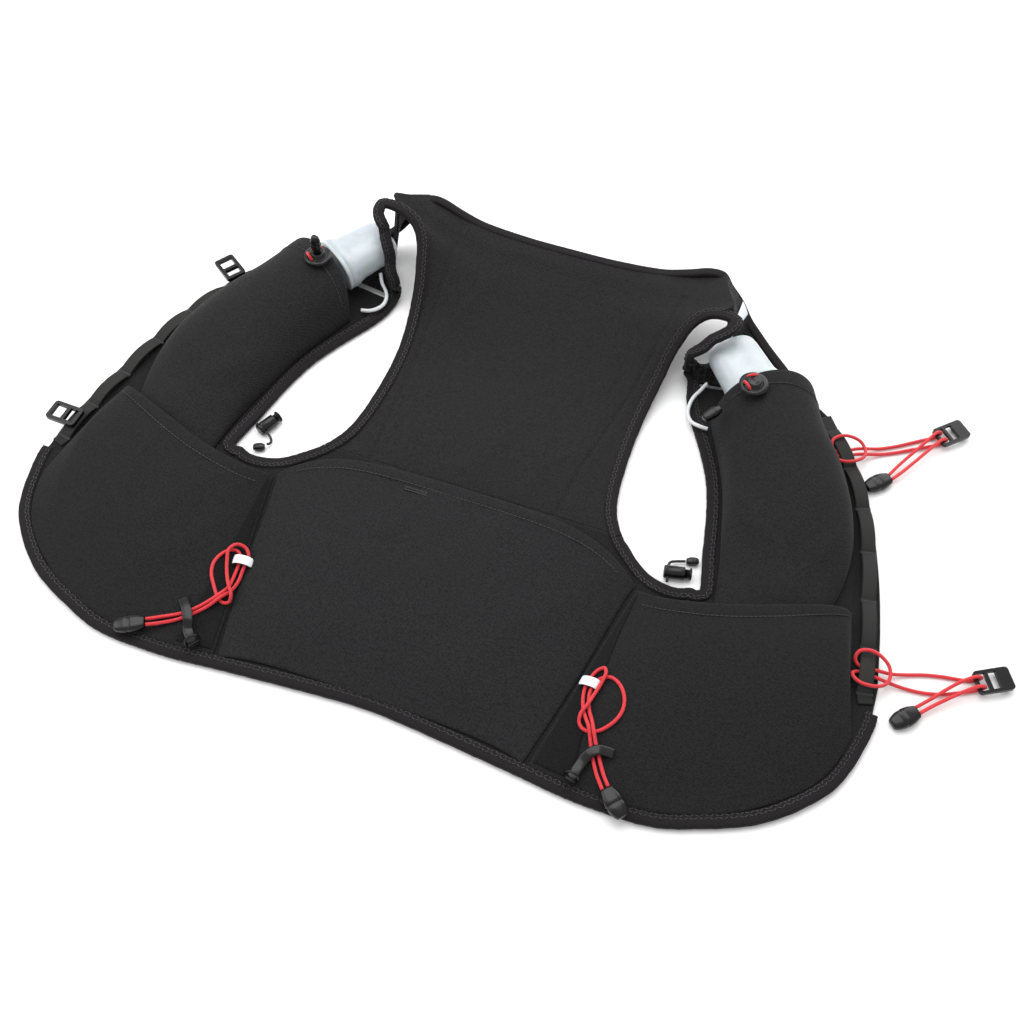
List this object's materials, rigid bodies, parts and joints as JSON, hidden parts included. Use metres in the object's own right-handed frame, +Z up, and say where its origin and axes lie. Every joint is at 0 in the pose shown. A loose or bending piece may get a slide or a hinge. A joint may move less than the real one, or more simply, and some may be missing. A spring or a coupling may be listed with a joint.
{
  "type": "running hydration vest with two soft flasks",
  "caption": "Dark grey running hydration vest with mesh shoulder straps, red elastic cords and a soft flask in each front pocket, laid open face up.",
  "frame": {"origin": "on the surface that the vest lies on, under the middle of its outline without the loose cords", "axes": "+X across the vest towards its right-hand wing as seen from above with the neck up, +Y from the hem to the neck, +Z up from the surface"},
  "size_m": [0.7301, 0.4415, 0.073],
  "materials": {
    "outer_cloth": "matte knitted cloth",
    "strap_mesh": "open spacer mesh",
    "edge_binding": "folded stretch tape, stitched",
    "webbing_tape": "woven tape",
    "black_plastic": "moulded, glossy",
    "black_cord": "thin braided elastic cord",
    "red_cord": "braided elastic cord",
    "pale_elastic": "elastic loop",
    "reflective_tape": "silver reflective tape",
    "cap_film": "translucent, satin",
    "flask_film": "clear soft film"
  },
  "bodies": {
    "vest": {"back_yoke": "outer_cloth", "lower_band": "outer_cloth", "left_front_panel": "outer_cloth", "right_front_panel": "outer_cloth", "back_pocket": "outer_cloth", "left_side_pocket": "outer_cloth", "right_side_pocket": "outer_cloth", "left_flask_pocket": "outer_cloth", "right_flask_pocket": "outer_cloth", "left_shoulder_strap": "strap_mesh", "right_shoulder_strap": "strap_mesh", "hem_binding": "edge_binding", "left_armhole_binding": "edge_binding", "right_armhole_binding": "edge_binding", "neck_binding": "edge_binding", "left_front_webbing": "webbing_tape", "right_front_webbing": "webbing_tape", "lower_chest_buckle": "black_plastic", "upper_chest_buckle": "black_plastic", "lower_chest_hook": "black_plastic", "upper_chest_hook": "black_plastic", "lower_chest_cord_end": "black_plastic", "upper_chest_cord_end": "black_plastic", "left_pole_cord_end": "black_plastic", "right_pole_cord_end": "black_plastic", "left_side_lock": "black_plastic", "right_side_lock": "black_plastic", "left_mouth_lock": "black_plastic", "right_mouth_lock": "black_plastic", "left_mouth_cord_end": "black_plastic", "right_mouth_cord_end": "black_plastic", "left_pole_hook": "black_plastic", "right_pole_hook": "black_plastic", "left_pole_ring": "black_plastic", "right_pole_ring": "black_plastic", "left_side_cord_end": "black_plastic", "right_side_cord_end": "black_plastic", "left_side_cord": "black_cord", "right_side_cord": "black_cord", "lower_chest_cord": "red_cord", "upper_chest_cord": "red_cord", "left_pole_cord": "red_cord", "right_pole_cord": "red_cord", "left_shoulder_loop": "pale_elastic", "right_shoulder_loop": "pale_elastic", "left_reflective_band": "reflective_tape", "right_reflective_band": "reflective_tape", "left_pole_tag": "reflective_tape", "right_pole_tag": "reflective_tape", "left_flask_cap": "cap_film", "right_flask_cap": "cap_film", "left_flask": "flask_film", "right_flask": "flask_film"},
    "left_button": {"left_side_lock_button": "black_plastic"},
    "right_button": {"right_side_lock_button": "black_plastic"}
  },
  "joints": [
    {"name": "left_button_press", "type": "slide", "parent": "vest", "child": "left_button", "axis": [0.4067, 0.9135, 0], "range_m": [-0.003, 0], "stiffness_N_per_m": 60},
    {"name": "right_button_press", "type": "slide", "parent": "vest", "child": "right_button", "axis": [0.9781, 0.2079, 0], "range_m": [-0.003, 0], "stiffness_N_per_m": 60}
  ]
}
